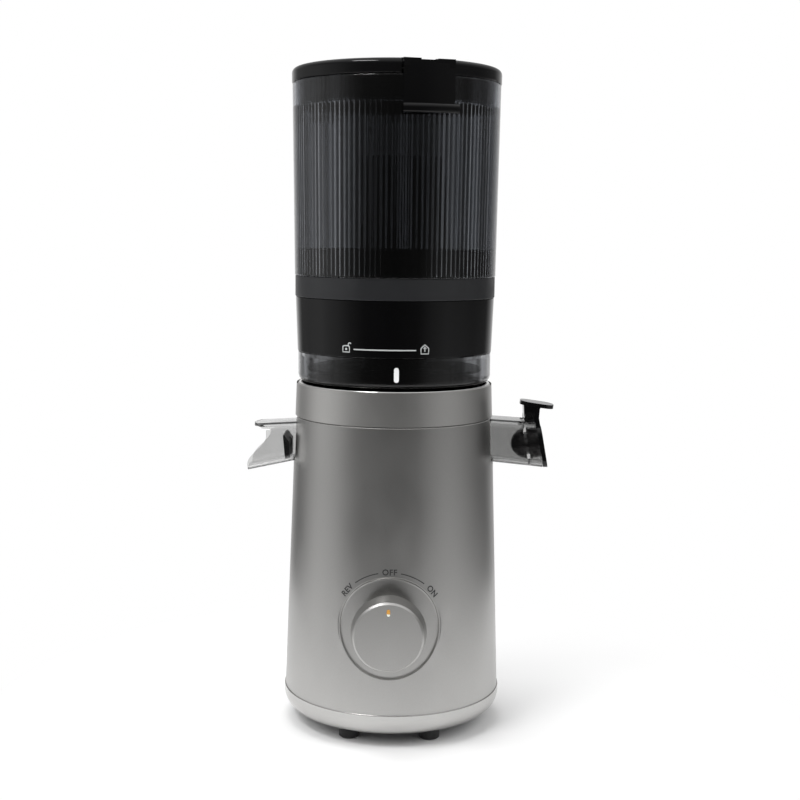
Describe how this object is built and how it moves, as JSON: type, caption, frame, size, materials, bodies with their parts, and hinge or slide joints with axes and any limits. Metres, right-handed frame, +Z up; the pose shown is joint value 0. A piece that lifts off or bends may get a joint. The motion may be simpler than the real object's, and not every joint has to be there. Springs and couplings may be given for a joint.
{
  "type": "cold press juicer",
  "caption": "Slow cold press juicer with a silver motor stand, turning dial, clear bowl with juice and pulp spouts, feed screw and a tall smoky hopper with a hinged lid.",
  "frame": {"origin": "on the vertical axis of the stand, in the plane of the countertop that the four feet stand on", "axes": "+Z up along the screw's axis, -Y to the front where the dial is, +X to the right where the juice spout is"},
  "size_m": [0.2176, 0.1777, 0.4645],
  "materials": {
    "shell_silver": "satin metallic silver",
    "trim_silver": "polished metallic silver",
    "gloss_black": "polished",
    "band_grey": "satin",
    "smoke_clear": "clear smoky, ribbed inside",
    "bowl_clear": "clear light grey",
    "rubber_black": "matt",
    "silicone_grey": "satin",
    "black_plastic": "fine texture",
    "gearbox_grey": "moulded",
    "steel": "turned",
    "lamination": "stacked sheet",
    "copper": "enamelled wire",
    "nylon": "moulded",
    "board_green": "lacquered",
    "marker_orange": "inlay"
  },
  "bodies": {
    "base": {"base_plate": "black_plastic", "feet": "rubber_black", "plate_screws": "steel", "base_trim": "trim_silver", "body_shell": "shell_silver", "cord_gland": "rubber_black", "frame_posts": "steel", "motor_can": "steel", "motor_end_bell": "steel", "stator": "lamination", "windings": "copper", "bearings": "steel", "gearbox_case": "gearbox_grey", "gearbox_cover": "gearbox_grey", "cover_screws": "steel", "lay_pin": "steel", "deck": "black_plastic", "deck_seal": "rubber_black", "rotary_switch": "black_plastic", "control_board": "board_green", "board_screws": "steel", "bowl_floor": "bowl_clear", "bowl": "bowl_clear", "bowl_seal": "silicone_grey", "silver_collar": "shell_silver", "strainer": "black_plastic", "juice_spout": "bowl_clear", "pulp_spout": "bowl_clear", "pulp_flap": "rubber_black", "cap_pin": "steel"},
    "motor_rotor": {"rotor": "steel", "cooling_fan": "black_plastic", "motor_pinion": "steel"},
    "layshaft": {"lay_gear": "nylon"},
    "auger": {"output_gear": "nylon", "drive_shaft": "steel", "drive_socket": "steel", "auger_screw": "black_plastic", "cutting_wing": "gloss_black"},
    "dial": {"knob": "shell_silver", "knob_marker": "marker_orange", "knob_shaft": "steel"},
    "hopper": {"hopper_skirt": "gloss_black", "hopper_seal": "silicone_grey", "hopper_floor": "gloss_black", "hopper_band": "band_grey", "hopper_tube": "smoke_clear", "hinge_bracket": "gloss_black", "lid_pin": "steel"},
    "lid": {"lid": "gloss_black", "latch_pin": "steel", "latch_spring": "steel"},
    "latch": {"lid_latch": "gloss_black"},
    "juice_cap": {"juice_cap": "gloss_black", "cap_plug": "silicone_grey"}
  },
  "joints": [
    {"name": "motor_spin", "type": "hinge", "parent": "base", "child": "motor_rotor", "pos_m": [0, 0, 0.1], "axis": [0, 0, 1], "continuous": true},
    {"name": "layshaft_spin", "type": "hinge", "parent": "base", "child": "layshaft", "pos_m": [0, 0.0324, 0.15], "axis": [0, 0, 1], "continuous": true},
    {"name": "auger_spin", "type": "hinge", "parent": "base", "child": "auger", "pos_m": [0, 0, 0.2], "axis": [0, 0, 1], "continuous": true},
    {"name": "dial_turn", "type": "hinge", "parent": "base", "child": "dial", "pos_m": [0, -0.09, 0.085], "axis": [0, 1, 0], "range_deg": [-45, 45]},
    {"name": "hopper_twist", "type": "hinge", "parent": "base", "child": "hopper", "pos_m": [0, 0, 0.3], "axis": [0, 0, 1], "range_deg": [-18, 26.5]},
    {"name": "lid_hinge", "type": "hinge", "parent": "hopper", "child": "lid", "pos_m": [-0.0241, 0.07418, 0.4561], "axis": [-0.9511, -0.309, 0], "range_deg": [0, 100]},
    {"name": "latch_flick", "type": "hinge", "parent": "lid", "child": "latch", "pos_m": [0.02114, -0.06505, 0.4593], "axis": [-0.9511, -0.309, 0], "range_deg": [0, 15], "stiffness_Nm_per_rad": 0.05, "springref_deg": -8.59},
    {"name": "cap_swing", "type": "hinge", "parent": "base", "child": "juice_cap", "pos_m": [0.0972, 0, 0.22065], "axis": [0, -1, 0], "range_deg": [0, 40]}
  ],
  "couplings": [
    {"joint": "layshaft_spin", "follows": "motor_spin", "ratio": -0.22034},
    {"joint": "auger_spin", "follows": "motor_spin", "ratio": 0.044068}
  ]
}
